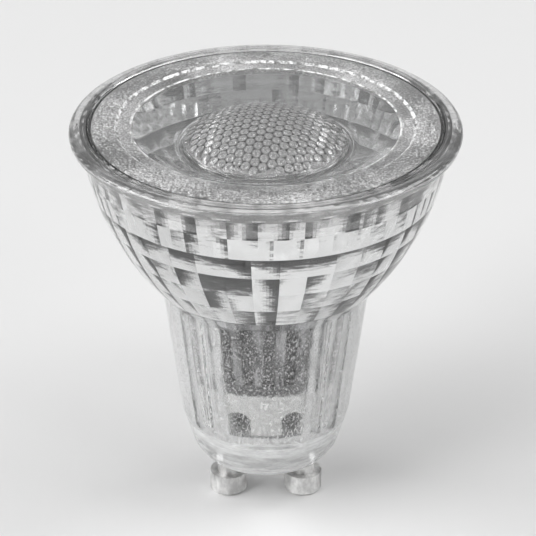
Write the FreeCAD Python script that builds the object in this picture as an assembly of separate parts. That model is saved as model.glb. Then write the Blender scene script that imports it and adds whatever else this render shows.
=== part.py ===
"""All-glass GU10 reflector spotlight bulb with a glued-in front lens, in millimetres.

The bulb stands on its two contact pins, light side up. Z is the lamp's axis, X runs through both pins,
and the origin is the middle of the pins' lower ends.
"""

import FreeCAD, Part
import math
import os

os.makedirs("parts", exist_ok=True)

# Contact pins
PIN_SPACING = 10.0
PIN_HEAD_RADIUS = 2.5
PIN_HEAD_HEIGHT = 2.9
PIN_HEAD_CHAMFER = 0.35
PIN_NECK_RADIUS = 1.5
PIN_LENGTH = 7.3
PIN_COLLAR_RADIUS = 2.15
PIN_COLLAR_HEIGHT = 0.5
PIN_SEAT_MARGIN = 0.25
PIN_SEAT_DEPTH = 0.2
PIN_RIVET_RADIUS = 2.2
PIN_RIVET_HEIGHT = 0.6
PIN_TAIL_HEIGHT = 1.3
PIN_BORE_DEPTH = 2.4

# Outside of the glass body, from the base face upwards
BASE_MARGIN = 3.5
BEVEL_WIDTH = 1.13
BEVEL_HEIGHT = 1.54
SHOULDER_FLARE = 1.46
SHOULDER_HEIGHT = 4.84
NECK_FLARE = 2.47
NECK_HEIGHT = 18.22
BOWL_FLARE = 9.55
BOWL_HEIGHT = 18.4
BOWL_CURVE_RADIUS = 38.0
COVE_FLARE = 0.94
COVE_HEIGHT = 2.8
FLANGE_OVERHANG = 0.95
FLANGE_THICKNESS = 1.57
FLANGE_ROLL = 1.0

# Inside of the glass body
FLOOR_THICKNESS = 2.9
NECK_WALL = 2.1
BORE_CORNER = 1.2
LEDGE_HEIGHT = 2.0
BOWL_WALL = 2.0
RIM_WALL = 1.55
LENS_SEAT_WIDTH = 1.2
LENS_SEAT_DEPTH = 2.1

# Mosaic of flat facets inside the bowl, counted from the rim down to the ledge
FINE_ROWS = 2
COARSE_ROWS = 4
FINE_COLUMNS = 72
COARSE_COLUMNS = 36
FINE_ROW_HEIGHT = 3.1
FACET_STEP = 0.12

# Neck decoration: a broad plain panel front and back, grooves on both sides of each panel
PANEL_CURVE_RADIUS = 24.0
PANEL_DEPTH = 0.75
PANEL_DROP = 1.0
GROOVE_ANGLES = (37.0, 51.0)
GROOVE_RADII = (0.45, 1.0)
GROOVE_DEPTHS = (0.25, 0.55)
GROOVE_LIFT = 0.5

# Front lens
LENS_GAP = 0.3
BAND_WIDTH = 3.1
STEP_HEIGHT = 0.25
STEP_WIDTH = 1.9
RECESS_FLOOR_WIDTH = 0.6
RECESS_DEPTH = 2.72
LENS_THICKNESS = 1.7
DOME_RADIUS = 10.5
DOME_BASE_HEIGHT = 0.35
DOME_HEIGHT = 3.2
LENSLET_PITCH = 1.24
LENSLET_TURN = 21.0
LENSLET_HEIGHT = 0.2
COLLIMATOR_MARGIN = 0.2
COLLIMATOR_BULGE = 1.1
COLLIMATOR_WALL = 0.8
COLLIMATOR_CLEARANCE = 0.4
CAVITY_DEPTH = 5.6
CAVITY_TAPER = 0.4
CAVITY_LENS_HEIGHT = 1.1

# Light engine
SPREADER_THICKNESS = 1.2
SPREADER_EDGE_GAP = 0.3
SKIRT_WALL = 0.8
SKIRT_GAP = 0.15
SKIRT_LENGTH = 11.8
SKIRT_SLOTS = 24
SKIRT_SLOT_WIDTH = 1.6
SKIRT_SLOT_LENGTH = 9.0
SKIRT_SLOT_TURN = 2.5
PAD_THICKNESS = 0.3
LED_BOARD_MARGIN = 2.8
LED_BOARD_THICKNESS = 1.2
DAM_WIDTH = 0.7
DAM_HEIGHT = 0.5
PHOSPHOR_HEIGHT = 0.4
COLLIMATOR_GAP = 0.3
SCREW_RADIUS = 0.9
SCREW_HEAD_RADIUS = 1.6
SCREW_HEAD_HEIGHT = 0.9
SCREW_EDGE_GAP = 0.7
SCREW_SLOT_WIDTH = 0.4
SCREW_SLOT_DEPTH = 0.4
SCREW_TIP_GAP = 0.1

# Driver and its insulating cup
CUP_WALL = 0.7
CUP_GAP = 0.1
CUP_LIP_HEIGHT = 0.6
CUP_FOOT_LIFT = 0.3
CUP_NOTCH_INSET = 1.5
CUP_NOTCH_WIDTH = 3.0
CUP_NOTCH_HEIGHT = 3.6
GUIDE_WIDTH = 0.9
GUIDE_DEPTH = 0.8
BOARD_THICKNESS = 1.0
BOARD_EDGE_GAP = 0.5
BOARD_CORNER = 0.8
BOARD_BOTTOM_GAP = 0.3
BOARD_TOP_GAP = 0.9
GUIDE_GAP = 0.05
GUIDE_TOP_GAP = 0.4
WIRE_RADIUS = 0.45
WIRE_HOLE_RADIUS = 0.7
PIN_WIRE_RISE = 3.4
LED_WIRE_INSET = 1.47
LED_WIRE_GAP = 0.35
LED_WIRE_DROP = 4.0
LED_WIRE_STICKOUT = 0.5

# Parts on the driver board
CUP_ROOM_GAP = 0.5
CAP_SPACING = 0.8
CAP_WIRE_GAP = 0.3
CAP_LIFT = 0.6
CAP_TOP_GAP = 1.2
CAP_RADIUS_STEP = 0.7
CAP_LENGTH_STEP = 1.5
CAP_CRIMP = 0.2
CAP_CRIMP_HEIGHT = 1.1
COIL_FLANGE_RADIUS = 3.5
COIL_FLANGE_THICKNESS = 0.8
COIL_CORE_RADIUS = 1.5
WINDING_DEPTH = 0.5
WINDING_BULGE = 0.2
COIL_TOP_GAP = 2.6
CHIP_LIFT = 0.8
RECTIFIER_HEIGHT = 1.5
RECTIFIER_LENGTH = 3.8
RECTIFIER_LEGS = 2
RECTIFIER_LEG_PITCH = 2.5
CHIP_HEIGHT = 1.4
CHIP_LENGTH = 4.4
CHIP_LEGS = 4
CHIP_LEG_PITCH = 1.1
PACKAGE_SPACING = 2.0
LEG_WIDTH = 0.4
LEG_LENGTH = 0.7
LEG_THICKNESS = 0.2
LEG_WIRE_GAP = 0.2
LEAD_RADIUS = 0.25
FUSE_RADIUS = 1.1
FUSE_LENGTH = 4.4
FUSE_CAP_LENGTH = 1.0
FUSE_WAIST = 0.15
FUSE_LEAD = 0.9
FUSE_LIFT = 0.5

# Radii that follow from the sizes above, from the pins outwards
base_face_radius = PIN_SPACING / 2 + BASE_MARGIN
bevel_radius = base_face_radius + BEVEL_WIDTH
shoulder_radius = bevel_radius + SHOULDER_FLARE
neck_top_radius = shoulder_radius + NECK_FLARE
bowl_top_radius = neck_top_radius + BOWL_FLARE
flange_root_radius = bowl_top_radius + COVE_FLARE
flange_radius = flange_root_radius + FLANGE_OVERHANG
lens_seat_radius = flange_root_radius - RIM_WALL
rim_bore_radius = lens_seat_radius - LENS_SEAT_WIDTH
lens_radius = lens_seat_radius - LENS_GAP
step_radius = lens_radius - BAND_WIDTH
recess_radius = step_radius - STEP_WIDTH
collimator_radius = DOME_RADIUS + COLLIMATOR_MARGIN

# Heights that follow, from the pins upwards
base_z = PIN_LENGTH
bevel_z = base_z + BEVEL_HEIGHT
shoulder_z = bevel_z + SHOULDER_HEIGHT
neck_top_z = shoulder_z + NECK_HEIGHT
bowl_top_z = neck_top_z + BOWL_HEIGHT
flange_z = bowl_top_z + COVE_HEIGHT
top_z = flange_z + FLANGE_THICKNESS
floor_z = base_z + FLOOR_THICKNESS
tail_z = floor_z + PIN_TAIL_HEIGHT
ledge_z = neck_top_z + LEDGE_HEIGHT
lens_seat_z = top_z - LENS_SEAT_DEPTH
shoulder_slope = SHOULDER_FLARE / SHOULDER_HEIGHT
neck_slope = NECK_FLARE / NECK_HEIGHT

# Heights of the light source and the driver
spreader_top_z = ledge_z + SPREADER_THICKNESS
roof_z = ledge_z - SKIRT_WALL
skirt_bottom_z = ledge_z - SKIRT_LENGTH
lip_z = skirt_bottom_z - CUP_LIP_HEIGHT
cup_foot_z = shoulder_z + CUP_FOOT_LIFT
led_board_z = spreader_top_z + PAD_THICKNESS
led_face_z = led_board_z + LED_BOARD_THICKNESS
foot_z = led_face_z + COLLIMATOR_GAP
board_bottom_z = tail_z + BOARD_BOTTOM_GAP
board_top_z = roof_z - CUP_WALL - BOARD_TOP_GAP
led_wire_z = board_top_z - LED_WIRE_DROP
pin_wire_top_z = board_bottom_z + PIN_WIRE_RISE
chip_z = board_bottom_z + CHIP_LIFT
fuse_z = chip_z + max(RECTIFIER_LENGTH, CHIP_LENGTH) + FUSE_LIFT + FUSE_RADIUS
cap_z = fuse_z + FUSE_RADIUS + CAP_LIFT
board_front_y = WIRE_RADIUS
board_back_y = board_front_y + BOARD_THICKNESS


def vec(x, y, z):
    return FreeCAD.Vector(x, y, z)


def outline(start, *steps):
    """Closed wire in the XZ half plane. A step is an (r, z) point, or a pair of points for an arc."""
    edges = []
    here = vec(start[0], 0, start[1])
    for step in steps + (start,):
        if isinstance(step[0], tuple):
            middle, there = (vec(r, 0, z) for r, z in step)
            edges.append(Part.Arc(here, middle, there).toShape())
        else:
            there = vec(step[0], 0, step[1])
            edges.append(Part.LineSegment(here, there).toShape())
        here = there
    return Part.Wire(edges)


def turned(start, *steps):
    """Solid of revolution about the lamp's axis."""
    return Part.Face(outline(start, *steps)).revolve(vec(0, 0, 0), vec(0, 0, 1), 360)


def rod(radius, z0, z1, x=0.0, y=0.0):
    return Part.makeCylinder(radius, z1 - z0, vec(x, y, z0))


def block(x0, x1, y0, y1, z0, z1):
    return Part.makeBox(x1 - x0, y1 - y0, z1 - z0, vec(x0, y0, z0))


def cone(radius0, radius1, z0, z1, y=0.0):
    return Part.makeCone(radius0, radius1, z1 - z0, vec(0, y, z0))


def joined(shapes):
    first, *others = shapes
    return first.fuse(others).removeSplitter()


def neck_radius(z):
    """Outer radius of the tapered neck."""
    return shoulder_radius + neck_slope * (z - shoulder_z)


def bore_radius(z):
    """Inner radius of the neck's bore, which keeps the neck's taper."""
    return neck_radius(z) - NECK_WALL


def skirt_radius(z):
    return bore_radius(z) - SKIRT_GAP


def cup_radius(z):
    return skirt_radius(z) - SKIRT_WALL - CUP_GAP


def board_half_width():
    """The board's edges keep clear of the cup at its narrow lower end."""
    room = cup_radius(lip_z) - CUP_WALL
    return math.sqrt(room ** 2 - board_back_y ** 2) - BOARD_EDGE_GAP


# Places that follow from the board's width: the leads to the light source, and what stands between them
led_wire_x = board_half_width() - LED_WIRE_INSET
foot_radius = led_wire_x - WIRE_RADIUS - LED_WIRE_GAP
cavity_radius = foot_radius - COLLIMATOR_WALL
dam_outer_radius = cavity_radius - COLLIMATOR_CLEARANCE
dam_inner_radius = dam_outer_radius - DAM_WIDTH


def bowl_centre():
    """Centre of the arc that the bowl's outline follows, on the axis side of its chord."""
    chord = math.hypot(BOWL_FLARE, BOWL_HEIGHT)
    reach = math.sqrt(BOWL_CURVE_RADIUS ** 2 - (chord / 2) ** 2)
    middle_r = (bowl_top_radius + neck_top_radius) / 2
    middle_z = (bowl_top_z + neck_top_z) / 2
    return middle_r - reach * BOWL_HEIGHT / chord, middle_z + reach * BOWL_FLARE / chord


def bowl_radius(z):
    """Outer radius of the bowl."""
    centre_r, centre_z = bowl_centre()
    return centre_r + math.sqrt(BOWL_CURVE_RADIUS ** 2 - (z - centre_z) ** 2)


def glass_outside():
    middle_z = (neck_top_z + bowl_top_z) / 2
    cove = (bowl_top_radius + COVE_FLARE / 3, (bowl_top_z + flange_z) / 2)
    lip_z = flange_z + FLANGE_THICKNESS / 2
    bend = 1 - math.sqrt(0.5)
    return turned(
        (0, base_z), (base_face_radius, base_z), (bevel_radius, bevel_z), (shoulder_radius, shoulder_z),
        (neck_top_radius, neck_top_z),
        ((bowl_radius(middle_z), middle_z), (bowl_top_radius, bowl_top_z)),
        (cove, (flange_root_radius, flange_z)),
        ((flange_radius - bend * FLANGE_OVERHANG, lip_z - (1 - bend) * FLANGE_THICKNESS / 2), (flange_radius, lip_z)),
        ((flange_radius - bend * FLANGE_ROLL, top_z - bend * FLANGE_THICKNESS / 2),
         (flange_radius - FLANGE_ROLL, top_z)),
        (0, top_z))


def facet_ring(columns, low_radius, low_z, high_radius, high_z):
    """Closed drum whose wall is a ring of flat facets. The radii are those of its corners."""
    def corner(radius, z, k):
        angle = 2 * math.pi * (k + 0.5) / columns
        return vec(radius * math.sin(angle), -radius * math.cos(angle), z)

    low = [corner(low_radius, low_z, k) for k in range(columns)]
    high = [corner(high_radius, high_z, k) for k in range(columns)]
    faces = [Part.Face(Part.makePolygon(ring + ring[:1])) for ring in (low, high)]
    for k in range(columns):
        after = (k + 1) % columns
        faces.append(Part.Face(Part.makePolygon([low[k], low[after], high[after], high[k], low[k]])))
    return Part.Solid(Part.Shell(faces))


def bowl_inside():
    """The stacked rings of facets, fine under the rim and coarse down to the ledge."""
    fine_bottom_z = lens_seat_z - FINE_ROWS * FINE_ROW_HEIGHT
    coarse_row = (fine_bottom_z - ledge_z) / COARSE_ROWS
    heights = [lens_seat_z - FINE_ROW_HEIGHT * k for k in range(FINE_ROWS + 1)]
    heights += [fine_bottom_z - coarse_row * (k + 1) for k in range(COARSE_ROWS)]
    rings = []
    for k, (high_z, low_z) in enumerate(zip(heights, heights[1:])):
        columns = FINE_COLUMNS if k < FINE_ROWS else COARSE_COLUMNS
        high_radius = rim_bore_radius if k == 0 else bowl_radius(high_z) - BOWL_WALL
        low_radius = bowl_radius(low_z) - BOWL_WALL + FACET_STEP
        rings.append(facet_ring(columns, low_radius, low_z, high_radius, high_z))
    return rings


def neck_bore():
    corner_z = floor_z + BORE_CORNER
    low_radius = bevel_radius + (corner_z - bevel_z) * shoulder_slope - NECK_WALL
    bend = BORE_CORNER * (1 - math.sqrt(0.5))
    return turned(
        (0, floor_z), (low_radius - BORE_CORNER, floor_z),
        ((low_radius - bend, floor_z + bend), (low_radius, corner_z)),
        (bore_radius(shoulder_z), shoulder_z), (bore_radius(ledge_z), ledge_z), (0, ledge_z))


def panel_cut(side):
    """What comes off the neck's round for the gently curved panel, front (-1) or back (+1)."""
    low_z = shoulder_z - PANEL_DROP
    low_radius = PANEL_CURVE_RADIUS
    high_radius = PANEL_CURVE_RADIUS + neck_slope * (neck_top_z - low_z)
    centre_y = -side * (low_radius - neck_radius(low_z) + PANEL_DEPTH)
    reach = neck_top_radius + 1
    ends = sorted((0, side * reach))
    slab = block(-reach, reach, ends[0], ends[1], low_z, neck_top_z)
    return slab.cut(cone(low_radius, high_radius, low_z, neck_top_z, centre_y))


def groove_cuts():
    """Upright round-bottomed grooves that follow the neck's taper, each with a round lower end."""
    tilt = math.degrees(math.atan(neck_slope))
    low_z = shoulder_z + GROOVE_LIFT
    length = (neck_top_z - low_z) / math.cos(math.radians(tilt))
    cuts = []
    for angle, radius, depth in zip(GROOVE_ANGLES, GROOVE_RADII, GROOVE_DEPTHS):
        tool = Part.makeCylinder(radius, length).fuse(Part.makeSphere(radius))
        tool.rotate(vec(0, 0, 0), vec(0, 1, 0), tilt)
        tool.translate(vec(neck_radius(low_z) + radius - depth, 0, low_z))
        for quarter in (angle, 180 - angle, 180 + angle, 360 - angle):
            copy = tool.copy()
            copy.rotate(vec(0, 0, 0), vec(0, 0, 1), quarter - 90)
            cuts.append(copy)
    return cuts


def pin_holes():
    """Hole for each pin through the floor, sunk a little at the base face to seat the pin's collar."""
    seat_radius = PIN_COLLAR_RADIUS + PIN_SEAT_MARGIN
    holes = []
    for side in (-1, 1):
        x = side * PIN_SPACING / 2
        holes += [rod(PIN_NECK_RADIUS, base_z, floor_z, x), rod(seat_radius, base_z, base_z + PIN_SEAT_DEPTH, x)]
    return holes


def glass_body():
    """One pressed piece: base, fluted neck, bowl with its mosaic inside, and the rolled rim."""
    below_bowl = rod(flange_radius, base_z, neck_top_z)
    cuts = [cut.common(below_bowl) for cut in groove_cuts() + [panel_cut(-1), panel_cut(1)]]
    body = glass_outside().cut(cuts)
    body = body.cut([neck_bore()] + pin_holes())
    for ring in bowl_inside():
        body = body.cut(ring)
    return body.cut(rod(lens_seat_radius, lens_seat_z, top_z))


def cap_rise(radius, height, distance):
    """Height of a spherical cap above its base circle, at a distance from its axis."""
    sphere = (radius ** 2 + height ** 2) / (2 * height)
    return math.sqrt(sphere ** 2 - distance ** 2) - (sphere - height)


def dome_height(x, y):
    """Height of the dome's smooth form above its base."""
    return cap_rise(DOME_RADIUS, DOME_HEIGHT, math.hypot(x, y))


def lenslet_dome(base, depth):
    """Dome of packed six-sided lenslets in slanting rows, each rising to a point and whole inside the edge."""
    side = LENSLET_PITCH / math.sqrt(3)
    rows = math.ceil(DOME_RADIUS / LENSLET_PITCH) + 1
    faces = []
    walls = {}
    for row in range(-rows, rows + 1):
        for column in range(-2 * rows, 2 * rows + 1):
            x = LENSLET_PITCH * (column + row / 2)
            y = LENSLET_PITCH * math.sqrt(3) / 2 * row
            if math.hypot(x, y) > DOME_RADIUS - side:
                continue
            top = vec(x, y, base + dome_height(x, y) + LENSLET_HEIGHT)
            angles = [math.pi / 6 + math.pi / 3 * k for k in range(6)]
            ring = [(round(x + side * math.cos(a), 4), round(y + side * math.sin(a), 4)) for a in angles]
            for a, b in zip(ring, ring[1:] + ring[:1]):
                corners = [vec(px, py, base + dome_height(px, py)) for px, py in (a, b)]
                faces.append(Part.Face(Part.makePolygon(corners + [top, corners[0]])))
                walls.setdefault(frozenset((a, b)), []).append((a, b))
    low_z = base - depth
    following = dict(pair[0] for pair in walls.values() if len(pair) == 1)
    for a, b in following.items():
        high = [vec(px, py, base + dome_height(px, py)) for px, py in (a, b)]
        low = [vec(px, py, low_z) for px, py in (b, a)]
        faces.append(Part.Face(Part.makePolygon(high + low + high[:1])))
    start = next(iter(following))
    loop = [start, following[start]]
    while loop[-1] != start:
        loop.append(following[loop[-1]])
    faces.append(Part.Face(Part.makePolygon([vec(px, py, low_z) for px, py in loop])))
    shell = Part.Shell(faces)
    shell.sewShape()
    dome = Part.Solid(shell)
    dome.rotate(vec(0, 0, 0), vec(0, 0, 1), LENSLET_TURN)
    return dome


def front_lens():
    """Clear moulded lens: seating ring, sloping recess, dome of lenslets and the collimator below it."""
    recess_z = top_z - RECESS_DEPTH
    dome_z = recess_z + DOME_BASE_HEIGHT
    root_z = recess_z - LENS_THICKNESS
    middle_r = (collimator_radius + foot_radius) / 2 + COLLIMATOR_BULGE
    middle_z = (root_z + foot_z) / 2
    cavity_z = foot_z + CAVITY_DEPTH
    cavity_top_radius = cavity_radius - CAVITY_TAPER
    half_r = cavity_top_radius / 2
    half_z = cavity_z - cap_rise(cavity_top_radius, CAVITY_LENS_HEIGHT, half_r)
    body = turned(
        (0, dome_z), (DOME_RADIUS, dome_z), (DOME_RADIUS, recess_z), (DOME_RADIUS + RECESS_FLOOR_WIDTH, recess_z),
        (recess_radius, top_z - STEP_HEIGHT),
        (step_radius - STEP_HEIGHT, top_z - STEP_HEIGHT), (step_radius, top_z), (lens_radius, top_z),
        (lens_radius, lens_seat_z), (recess_radius + LENS_THICKNESS / 2, lens_seat_z),
        (collimator_radius, root_z),
        ((middle_r, middle_z), (foot_radius, foot_z)),
        (cavity_radius, foot_z), (cavity_top_radius, cavity_z),
        ((half_r, half_z), (0, cavity_z - CAVITY_LENS_HEIGHT)))
    return body.fuse(lenslet_dome(dome_z, LENS_THICKNESS / 2))


def lens_adhesive():
    """Clear bead that fills the gap between the lens and the glass rim."""
    bead_z = top_z - LENS_GAP / 2
    return turned((lens_radius, lens_seat_z), (lens_seat_radius, lens_seat_z), (lens_seat_radius, bead_z),
                  (lens_radius, bead_z))


def spreader_radius():
    return bowl_radius(ledge_z) - BOWL_WALL - SPREADER_EDGE_GAP


def led_board_radius():
    return spreader_radius() - LED_BOARD_MARGIN


def screw_circle_radius():
    return led_board_radius() - SCREW_EDGE_GAP - SCREW_HEAD_RADIUS


def wire_holes(z0, z1):
    return [rod(WIRE_HOLE_RADIUS, z0, z1, side * led_wire_x) for side in (-1, 1)]


def screw_holes(z0, z1):
    return [rod(SCREW_RADIUS, z0, z1, 0, side * screw_circle_radius()) for side in (-1, 1)]


def heat_spreader():
    """Stamped aluminium cup: flat top on the glass ledge, skirt slit into spring fingers."""
    edge = spreader_radius()
    cup = turned(
        (0, spreader_top_z), (edge, spreader_top_z), (edge, ledge_z), (skirt_radius(ledge_z), ledge_z),
        (skirt_radius(skirt_bottom_z), skirt_bottom_z),
        (skirt_radius(skirt_bottom_z) - SKIRT_WALL, skirt_bottom_z),
        (skirt_radius(roof_z) - SKIRT_WALL, roof_z), (0, roof_z))
    reach = skirt_radius(ledge_z) + 1
    slots = []
    for k in range(SKIRT_SLOTS):
        slot = block(reach / 2, reach, -SKIRT_SLOT_WIDTH / 2, SKIRT_SLOT_WIDTH / 2,
                     skirt_bottom_z, skirt_bottom_z + SKIRT_SLOT_LENGTH)
        slot.rotate(vec(0, 0, 0), vec(0, 0, 1), 360 * k / SKIRT_SLOTS + SKIRT_SLOT_TURN)
        slots.append(slot)
    holes = wire_holes(roof_z, spreader_top_z) + screw_holes(roof_z, spreader_top_z)
    return cup.cut(slots + holes)


def thermal_pad():
    pad = rod(led_board_radius(), spreader_top_z, led_board_z)
    return pad.cut(wire_holes(spreader_top_z, led_board_z) + screw_holes(spreader_top_z, led_board_z))


def led_board():
    board = rod(led_board_radius(), led_board_z, led_face_z)
    return board.cut(wire_holes(led_board_z, led_face_z) + screw_holes(led_board_z, led_face_z))


def led_dam_ring():
    """White ring that holds the phosphor, its crest rounded."""
    shoulder = DAM_HEIGHT / 2
    middle = (dam_outer_radius + dam_inner_radius) / 2
    return turned((dam_inner_radius, led_face_z), (dam_outer_radius, led_face_z),
                  (dam_outer_radius, led_face_z + shoulder),
                  ((middle, led_face_z + DAM_HEIGHT), (dam_inner_radius, led_face_z + shoulder)))


def led_phosphor():
    return rod(dam_inner_radius, led_face_z, led_face_z + PHOSPHOR_HEIGHT)


def board_screw(side):
    """Small slotted screw that holds the light board to the spreader."""
    y = side * screw_circle_radius()
    head_z = led_face_z + SCREW_HEAD_HEIGHT
    tip_z = roof_z + SCREW_TIP_GAP
    head = rod(SCREW_HEAD_RADIUS, led_face_z, head_z, 0, y)
    slot = block(-SCREW_HEAD_RADIUS, SCREW_HEAD_RADIUS, y - SCREW_SLOT_WIDTH / 2, y + SCREW_SLOT_WIDTH / 2,
                 head_z - SCREW_SLOT_DEPTH, head_z)
    return head.cut(slot).fuse(rod(SCREW_RADIUS, tip_z, led_face_z, 0, y)).removeSplitter()


def cup_notches():
    """Round-topped notches in the cup's lower edge, beside each pin, front and back."""
    reach = skirt_radius(lip_z)
    radius = CUP_NOTCH_WIDTH / 2
    top_z = cup_foot_z + CUP_NOTCH_HEIGHT - radius
    notches = []
    for side in (-1, 1):
        x = side * (PIN_SPACING / 2 - CUP_NOTCH_INSET)
        notches.append(block(x - radius, x + radius, -reach, reach, cup_foot_z, top_z))
        notches.append(Part.makeCylinder(radius, 2 * reach, vec(x, -reach, top_z), vec(0, 1, 0)))
    return notches


def driver_insulator():
    """Plastic cup round the driver, narrow inside the spreader's skirt, with ribs that guide the board."""
    under_z = roof_z - CUP_WALL
    cup = turned(
        (0, roof_z), (cup_radius(roof_z), roof_z), (cup_radius(skirt_bottom_z), skirt_bottom_z),
        (skirt_radius(skirt_bottom_z), skirt_bottom_z), (skirt_radius(cup_foot_z), cup_foot_z),
        (skirt_radius(cup_foot_z) - CUP_WALL, cup_foot_z), (skirt_radius(lip_z) - CUP_WALL, lip_z),
        (cup_radius(lip_z) - CUP_WALL, lip_z), (cup_radius(under_z) - CUP_WALL, under_z), (0, under_z))
    hollow = cone(cup_radius(lip_z) - CUP_WALL / 2, cup_radius(under_z) - CUP_WALL / 2, lip_z, under_z)
    guide_top_z = led_wire_z - GUIDE_TOP_GAP
    guides = []
    for side in (-1, 1):
        for y in (board_front_y - GUIDE_GAP - GUIDE_WIDTH, board_back_y + GUIDE_GAP):
            ends = sorted((side * (board_half_width() - GUIDE_DEPTH), side * cup_radius(under_z)))
            guide = block(ends[0], ends[1], y, y + GUIDE_WIDTH, lip_z, guide_top_z)
            guides.append(guide.common(hollow))
    return joined([cup] + guides).cut(wire_holes(under_z, roof_z) + cup_notches())


def driver_board():
    half = board_half_width()
    board = block(-half, half, board_front_y, board_back_y, board_bottom_z, board_top_z)
    corners = [edge for edge in board.Edges if abs(edge.tangentAt(edge.FirstParameter).y) > 0.9]
    return board.makeFillet(BOARD_CORNER, corners)


def contact_pin(side):
    """Bayonet pin, riveted into the base: head, neck, collar, flared rivet and hollow tail."""
    seat_z = base_z + PIN_SEAT_DEPTH
    pin = turned(
        (0, 0), (PIN_HEAD_RADIUS - PIN_HEAD_CHAMFER, 0), (PIN_HEAD_RADIUS, PIN_HEAD_CHAMFER),
        (PIN_HEAD_RADIUS, PIN_HEAD_HEIGHT), (PIN_NECK_RADIUS, PIN_HEAD_HEIGHT),
        (PIN_NECK_RADIUS, base_z - PIN_COLLAR_HEIGHT), (PIN_COLLAR_RADIUS, base_z - PIN_COLLAR_HEIGHT),
        (PIN_COLLAR_RADIUS, seat_z), (PIN_NECK_RADIUS, seat_z), (PIN_NECK_RADIUS, floor_z),
        (PIN_RIVET_RADIUS, floor_z), (PIN_NECK_RADIUS, floor_z + PIN_RIVET_HEIGHT),
        (PIN_NECK_RADIUS, tail_z), (WIRE_RADIUS, tail_z), (WIRE_RADIUS, tail_z - PIN_BORE_DEPTH),
        (0, tail_z - PIN_BORE_DEPTH))
    pin.translate(vec(side * PIN_SPACING / 2, 0, 0))
    return pin


def pin_wire(side):
    """Lead from the bore of a pin up the face of the driver board."""
    return rod(WIRE_RADIUS, tail_z - PIN_BORE_DEPTH, pin_wire_top_z, side * PIN_SPACING / 2)


def led_wire(side):
    """Lead from the driver board through the spreader to the light board."""
    return rod(WIRE_RADIUS, led_wire_z, led_face_z + LED_WIRE_STICKOUT, side * led_wire_x)


def cup_room():
    """Radius about the lamp's axis that parts on the board may reach inside the cup."""
    return cup_radius(lip_z) - CUP_WALL - CUP_ROOM_GAP


def input_capacitor_radius():
    """Radius of the can that lies on the board between the middle gap and the lead on its left."""
    across = led_wire_x - CAP_SPACING / 2
    keep_off = WIRE_RADIUS + CAP_WIRE_GAP
    total = across + board_front_y + keep_off
    return total - math.sqrt(total ** 2 - across ** 2 - board_front_y ** 2 + keep_off ** 2)


def capacitor(radius, length, side):
    """Round can lying along the board, with a crimped neck and a rounded upper edge."""
    crimp_z = cap_z + CAP_CRIMP_HEIGHT
    high_z = cap_z + length
    bend = CAP_CRIMP * (1 - math.sqrt(0.5))
    can = turned(
        (0, cap_z), (radius, cap_z), (radius, crimp_z),
        ((radius - CAP_CRIMP, crimp_z + CAP_CRIMP), (radius, crimp_z + 2 * CAP_CRIMP)),
        (radius, high_z - CAP_CRIMP),
        ((radius - bend, high_z - bend), (radius - CAP_CRIMP, high_z)),
        (0, high_z))
    can.translate(vec(side * (radius + CAP_SPACING / 2), board_front_y - radius, 0))
    return can


def input_capacitor():
    return capacitor(input_capacitor_radius(), board_top_z - CAP_TOP_GAP - cap_z, -1)


def output_capacitor():
    length = board_top_z - CAP_TOP_GAP - cap_z - CAP_LENGTH_STEP
    return capacitor(input_capacitor_radius() - CAP_RADIUS_STEP, length, 1)


def on_board_back(shape):
    """Turns a shape made about the Z axis so that it stands out from the back of the board."""
    shape.rotate(vec(0, 0, 0), vec(1, 0, 0), -90)
    shape.translate(vec(0, board_back_y, board_top_z - COIL_TOP_GAP - COIL_FLANGE_RADIUS))
    return shape


def coil_heights():
    """Length of the coil's core, which ends inside the cup's room, and the ends of its winding."""
    length = math.sqrt(cup_room() ** 2 - COIL_FLANGE_RADIUS ** 2) - board_back_y
    return length, COIL_FLANGE_THICKNESS, length - COIL_FLANGE_THICKNESS


def inductor_core():
    length, low, high = coil_heights()
    return on_board_back(turned(
        (0, 0), (COIL_FLANGE_RADIUS, 0), (COIL_FLANGE_RADIUS, low), (COIL_CORE_RADIUS, low),
        (COIL_CORE_RADIUS, high), (COIL_FLANGE_RADIUS, high), (COIL_FLANGE_RADIUS, length), (0, length)))


def inductor_winding():
    length, low, high = coil_heights()
    radius = COIL_FLANGE_RADIUS - WINDING_DEPTH
    return on_board_back(turned(
        (COIL_CORE_RADIUS, low), (radius, low), ((radius + WINDING_BULGE, length / 2), (radius, high)),
        (COIL_CORE_RADIUS, high)))


def board_package(height, length, side, legs, leg_pitch):
    """Moulded package on the board beside a pin's lead, with flat legs on its left and right."""
    width = PIN_SPACING / 2 - WIRE_RADIUS - LEG_WIRE_GAP - LEG_LENGTH - PACKAGE_SPACING / 2
    x = side * (width / 2 + PACKAGE_SPACING / 2)
    sole_y = board_front_y - LEG_THICKNESS
    pieces = [block(x - width / 2, x + width / 2, board_front_y - height, sole_y, chip_z, chip_z + length)]
    for edge in (-1, 1):
        ends = sorted((x + edge * (width / 2 - LEG_THICKNESS), x + edge * (width / 2 + LEG_LENGTH)))
        for k in range(legs):
            low_z = chip_z + length / 2 + (k - (legs - 1) / 2) * leg_pitch - LEG_WIDTH / 2
            pieces.append(block(ends[0], ends[1], sole_y, board_front_y, low_z, low_z + LEG_WIDTH))
    return joined(pieces)


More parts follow.
